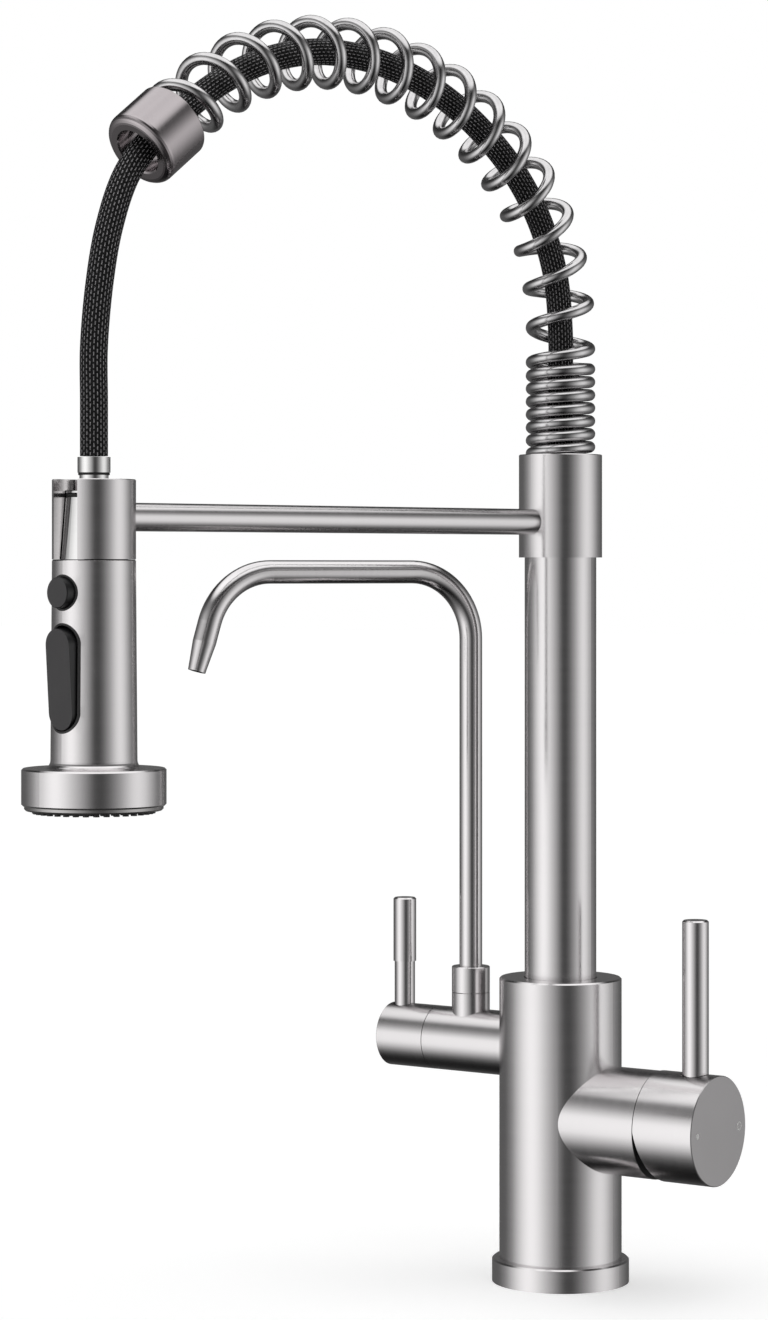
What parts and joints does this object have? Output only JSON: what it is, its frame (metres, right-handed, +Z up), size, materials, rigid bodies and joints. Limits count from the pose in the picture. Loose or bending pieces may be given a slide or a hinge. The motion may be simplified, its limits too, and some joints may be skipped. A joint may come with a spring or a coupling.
{
  "type": "three-way kitchen faucet",
  "caption": "Deck-mounted kitchen faucet with a spring arch, a docked pull-down spray head, a side mixer lever and a separate drinking-water tap with its own curved spout.",
  "frame": {"origin": "centre of the mounting thread's mouth, level with the worktop, on the body's vertical axis", "axes": "+Z up, +X towards the mixer handle, -X towards the drinking-water handle, -Y towards the user and the sink"},
  "size_m": [0.1787, 0.2872, 0.504],
  "materials": {
    "steel": "satin brushed round the axis",
    "cap_steel": "satin, a shade darker",
    "polished_steel": "polished",
    "spring_steel": "drawn wire, half bright",
    "screw": "plain",
    "black_braid": "woven nylon braid with pale stitches",
    "charcoal": "satin",
    "dark_plastic": "matt",
    "dark_silicone": "matt",
    "pale_plastic": "moulded",
    "ceramic": "lapped ceramic",
    "seal": "matt",
    "brass": "turned",
    "copper": "drawn",
    "pale_mark": "inlaid enamel"
  },
  "bodies": {
    "base": {"base_ring": "steel", "deck_gasket": "seal", "main_body": "steel", "inlet_block": "brass", "hot_pipe": "copper", "cold_pipe": "copper", "outlet_pipe": "copper", "tap_pipe": "copper", "mixer_manifold": "brass", "mixer_cartridge": "pale_plastic", "fixed_disc": "ceramic", "cartridge_nut": "brass", "column_bush": "pale_plastic", "retaining_screw": "screw", "tap_housing": "steel", "tap_valve": "brass", "spout_o_rings": "seal"},
    "arm": {"column_tube": "steel", "collar": "steel", "collar_set_screw": "screw", "arm_rod": "steel", "dock": "steel", "dock_screw": "screw", "spring": "spring_steel", "end_cap": "cap_steel", "hose_guide": "pale_plastic", "hose": "black_braid"},
    "hose_end": {"hose_ferrule": "polished_steel", "hose_swivel": "polished_steel", "swivel_o_ring": "seal"},
    "head": {"head_shell": "steel", "head_neck": "polished_steel", "neck_ring": "seal", "swivel_clip": "screw", "check_valve": "pale_plastic", "diverter": "pale_plastic", "spray_plate": "cap_steel", "nozzle_mat": "dark_silicone", "aerator": "dark_plastic", "button_spring": "spring_steel", "rocker_pin": "screw"},
    "button": {"pause_button": "charcoal"},
    "spray_rocker": {"rocker": "charcoal"},
    "mixer_rotor": {"moving_disc": "ceramic", "stem_carrier": "dark_plastic", "stem_pin": "screw"},
    "mixer_handle": {"mixer_stem": "polished_steel", "mixer_hub": "steel", "mixer_lever": "steel", "mixer_marks": "pale_mark", "hub_grub_screw": "screw"},
    "tap_handle": {"tap_stem": "polished_steel", "tap_disc": "ceramic", "tap_hub": "steel", "tap_lever": "steel", "tap_grip": "steel", "tap_grub_screw": "screw"},
    "spout": {"filter_spout": "steel", "spout_collar": "steel"}
  },
  "joints": [
    {"name": "arm_swivel", "type": "hinge", "parent": "base", "child": "arm", "pos_m": [0, 0, 0.115], "axis": [0, 0, 1], "continuous": true},
    {"name": "head_pull", "type": "slide", "parent": "arm", "child": "hose_end", "axis": [0, 0, -1], "range_m": [0, 0.15]},
    {"name": "head_swivel", "type": "hinge", "parent": "hose_end", "child": "head", "pos_m": [-0.05376, -0.23287, 0.3], "axis": [0, 0, 1], "continuous": true},
    {"name": "button_press", "type": "slide", "parent": "head", "child": "button", "axis": [0.1392, 0.9903, 0], "range_m": [0, 0.002], "stiffness_N_per_m": 500, "springref_m": -0.001, "deforming": ["button_spring"]},
    {"name": "rocker_tilt", "type": "hinge", "parent": "head", "child": "spray_rocker", "pos_m": [-0.05529, -0.24377, 0.2515], "axis": [-0.9903, 0.1392, 0], "range_deg": [0, 7.2]},
    {"name": "mixer_turn", "type": "hinge", "parent": "base", "child": "mixer_rotor", "pos_m": [0, 0, 0.0676], "axis": [1, 0, 0], "range_deg": [-45, 45]},
    {"name": "mixer_tilt", "type": "hinge", "parent": "mixer_rotor", "child": "mixer_handle", "pos_m": [0.033, 0, 0.0676], "axis": [0, 1, 0], "range_deg": [0, 12]},
    {"name": "tap_turn", "type": "hinge", "parent": "base", "child": "tap_handle", "pos_m": [-0.06, 0, 0.0948], "axis": [1, 0, 0], "range_deg": [0, 90]},
    {"name": "spout_swivel", "type": "hinge", "parent": "base", "child": "spout", "pos_m": [-0.044, 0, 0.115], "axis": [0, 0, 1], "range_deg": [-213, 87]}
  ]
}
